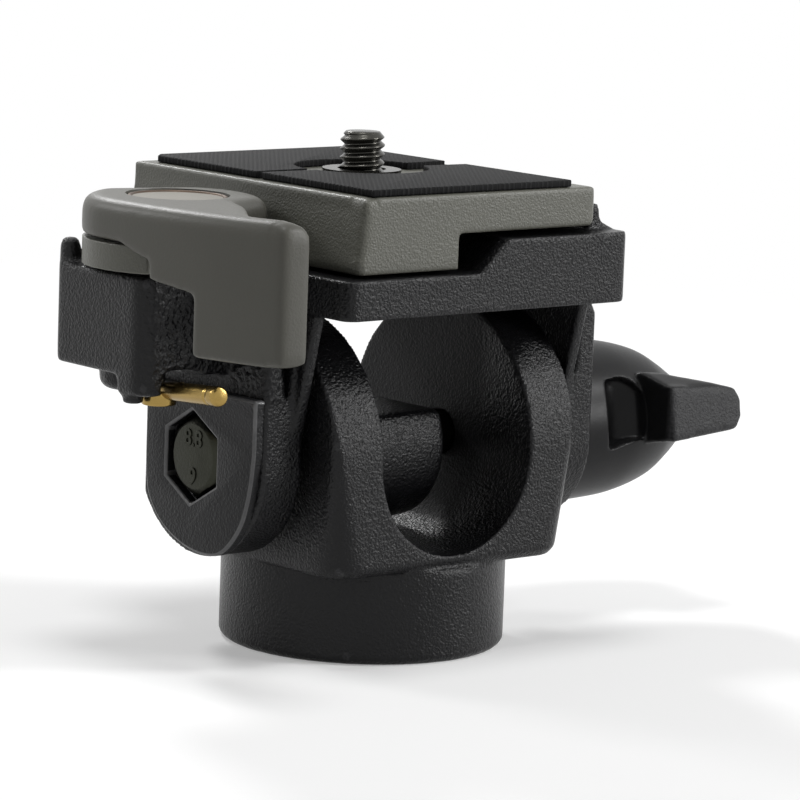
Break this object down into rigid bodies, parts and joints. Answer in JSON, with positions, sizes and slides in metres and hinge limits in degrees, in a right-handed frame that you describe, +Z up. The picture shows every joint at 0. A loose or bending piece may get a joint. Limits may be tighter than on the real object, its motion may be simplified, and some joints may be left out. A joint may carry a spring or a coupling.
{
  "type": "monopod head",
  "caption": "Single-axis tilt head for a monopod with a lever-clamped quick-release camera plate and a winged locking knob.",
  "frame": {"origin": "centre of the foot's bottom face, on the axis of the monopod thread", "axes": "+Z up along the monopod, +X along the tilt bolt towards the knob, -Y towards the front"},
  "size_m": [0.1082, 0.062, 0.0729],
  "materials": {
    "casting": "black crinkle paint on a die casting, glossy on its bumps",
    "lever_paint": "satin warm grey paint",
    "plate_paint": "fine-grained greenish grey paint",
    "black_oxide": "blackened steel, slightly greenish",
    "steel": "bright zinc-plated steel",
    "brass": "polished brass",
    "rubber": "matt black rubber with a fine diagonal grain",
    "knob_plastic": "satin black moulded plastic",
    "washer_plastic": "natural acetal",
    "cap_metal": "matt grey metal"
  },
  "bodies": {
    "base": {"base_yoke": "casting", "thread_bush": "steel"},
    "tilting_platform": {"platform": "casting", "pivot_bolt": "black_oxide", "left_friction_washer": "washer_plastic", "right_friction_washer": "washer_plastic", "lever_shaft": "steel", "lever_screw": "black_oxide", "lever_washer": "steel", "lever_spring": "steel", "latch_pin": "black_oxide", "latch_spring": "steel", "plunger_spring": "steel", "plunger_retainer": "steel"},
    "washer": {"thrust_washer": "steel"},
    "nut": {"knob_nut": "steel", "knob_screw": "black_oxide", "knob_spring": "steel"},
    "knob": {"tilt_knob": "knob_plastic"},
    "lever": {"clamp_lever": "lever_paint", "lever_cap": "cap_metal", "lever_cam": "plate_paint"},
    "latch": {"safety_latch": "brass"},
    "plunger": {"release_plunger": "brass"},
    "plate": {"quick_release_plate": "plate_paint", "front_pad": "rubber", "rear_pad": "rubber", "screw_clip": "cap_metal"},
    "screw": {"camera_screw": "black_oxide"}
  },
  "joints": [
    {"name": "tilt", "type": "hinge", "parent": "base", "child": "tilting_platform", "pos_m": [0, 0, 0.0287], "axis": [1, 0, 0], "range_deg": [-90, 90]},
    {"name": "nut_travel", "type": "slide", "parent": "tilting_platform", "child": "washer", "axis": [1, 0, 0], "range_m": [0, 0.001]},
    {"name": "knob_turn", "type": "hinge", "parent": "washer", "child": "nut", "pos_m": [0.032, 0, 0.0287], "axis": [1, 0, 0], "range_deg": [0, 360]},
    {"name": "knob_pull", "type": "slide", "parent": "nut", "child": "knob", "axis": [1, 0, 0], "range_m": [0, 0.005], "stiffness_N_per_m": 400, "springref_m": -0.006, "deforming": ["knob_spring"]},
    {"name": "lever_open", "type": "hinge", "parent": "tilting_platform", "child": "lever", "pos_m": [-0.0355, -0.00035, 0.06], "axis": [0, 0, -1], "range_deg": [0, 80], "stiffness_Nm_per_rad": 0.06, "springref_deg": -28.65},
    {"name": "latch_turn", "type": "hinge", "parent": "tilting_platform", "child": "latch", "pos_m": [-0.0393, -0.0024, 0.039], "axis": [0, 0, 1], "range_deg": [0, 25], "stiffness_Nm_per_rad": 0.003, "springref_deg": -22.92},
    {"name": "plunger_rise", "type": "slide", "parent": "tilting_platform", "child": "plunger", "axis": [0, 0, 1], "range_m": [0, 0.002], "deforming": ["plunger_spring"]},
    {"name": "plate_slide", "type": "slide", "parent": "tilting_platform", "child": "plate", "axis": [0, -1, 0], "range_m": [0, 0.055]},
    {"name": "screw_turn", "type": "hinge", "parent": "plate", "child": "screw", "pos_m": [-0.00147, 0.00162, 0.0665], "axis": [0, 0, 1], "continuous": true}
  ],
  "couplings": [
    {"joint": "knob_turn", "follows": "nut_travel", "rad_per_m": 6283.2}
  ]
}
